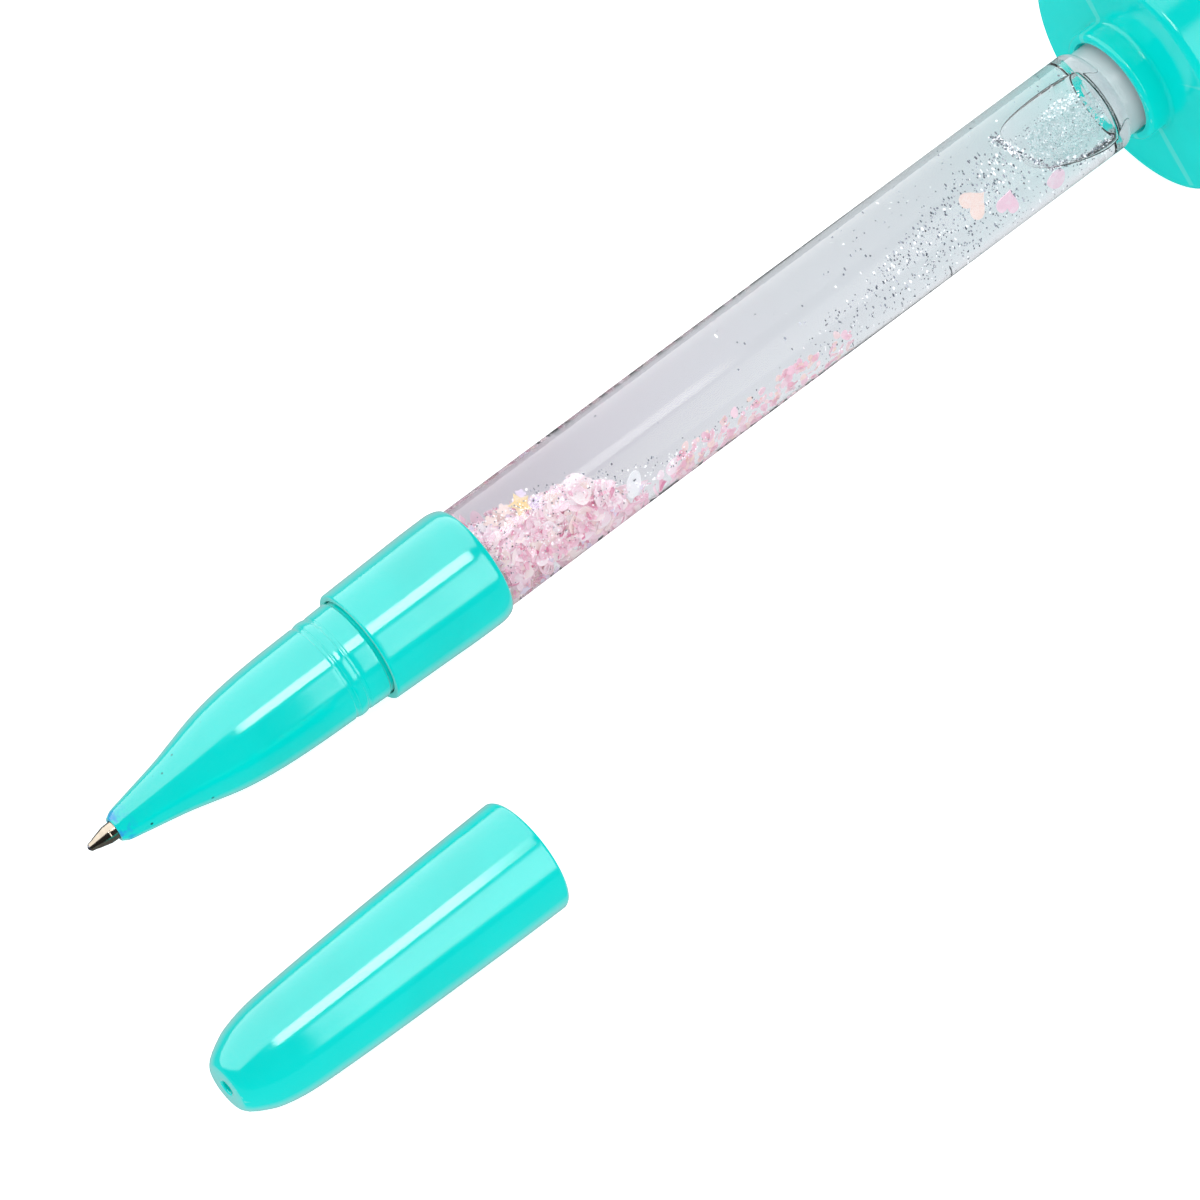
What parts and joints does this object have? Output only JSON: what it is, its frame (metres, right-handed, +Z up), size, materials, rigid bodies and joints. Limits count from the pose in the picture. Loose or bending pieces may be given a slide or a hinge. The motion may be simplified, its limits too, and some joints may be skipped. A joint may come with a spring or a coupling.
{
  "type": "gel pen",
  "caption": "Uncapped turquoise gel pen with a clear liquid-filled glitter tube and a round topper, lying beside its tapered cap.",
  "frame": {"origin": "on the table, under the middle of the box round the pen and its cap", "axes": "+X along the pen from its nib to its topper, level; +Y across, away from the cap; +Z up"},
  "size_m": [0.1738, 0.052, 0.031],
  "materials": {
    "turquoise_plastic": "glossy injection-moulded turquoise",
    "sleeve_plastic": "satin, soft",
    "ball_steel": "polished",
    "nickel_silver": "turned nickel silver, bright",
    "white_plastic": "satin",
    "refill_tube": "translucent milky",
    "blue_ink": "wet blue gel",
    "ink_grease": "translucent grease",
    "clear_plastic": "clear, polished",
    "clear_liquid": "clear liquid",
    "plug_plastic": "frosted grey",
    "confetti_pink": "thin pearly film flakes",
    "sequin_gold": "gold film",
    "sequin_pearl": "white pearl film",
    "sequin_peach": "peach film"
  },
  "bodies": {
    "barrel": {"grip_collar": "turquoise_plastic", "liquid_tube": "clear_plastic", "tube_end_plug": "plug_plastic", "neck_plug": "plug_plastic", "liquid_fill": "clear_liquid", "confetti_bed": "confetti_pink", "star_sequin": "sequin_gold", "shell_sequin": "sequin_pearl", "peach_heart": "sequin_peach", "pink_heart": "confetti_pink", "pink_petal": "confetti_pink", "topper_base": "turquoise_plastic", "topper_dome": "turquoise_plastic"},
    "nose": {"nose_cone": "turquoise_plastic"},
    "refill": {"nib_tip": "nickel_silver", "tip_holder": "white_plastic", "ink_tube": "refill_tube", "gel_ink": "blue_ink", "ink_follower": "ink_grease"},
    "ball": {"nib_ball": "ball_steel"},
    "cap": {"cap_shell": "turquoise_plastic", "cap_inner_sleeve": "sleeve_plastic"}
  },
  "joints": [
    {"name": "nose_pull", "type": "slide", "parent": "barrel", "child": "nose", "axis": [-0.9967, 0, -0.0817], "range_m": [0, 0.012]},
    {"name": "refill_float", "type": "slide", "parent": "nose", "child": "refill", "axis": [0.9967, 0, 0.0817], "range_m": [0, 0.0007]},
    {"name": "ball_roll", "type": "hinge", "parent": "refill", "child": "ball", "pos_m": [-0.07981, 0.01075, 0.00359], "axis": [0, 1, 0], "continuous": true},
    {"name": "cap_pull", "type": "slide", "parent": "barrel", "child": "cap", "axis": [-0.9994, -0.0333, 0], "range_m": [0, 0.036]}
  ]
}
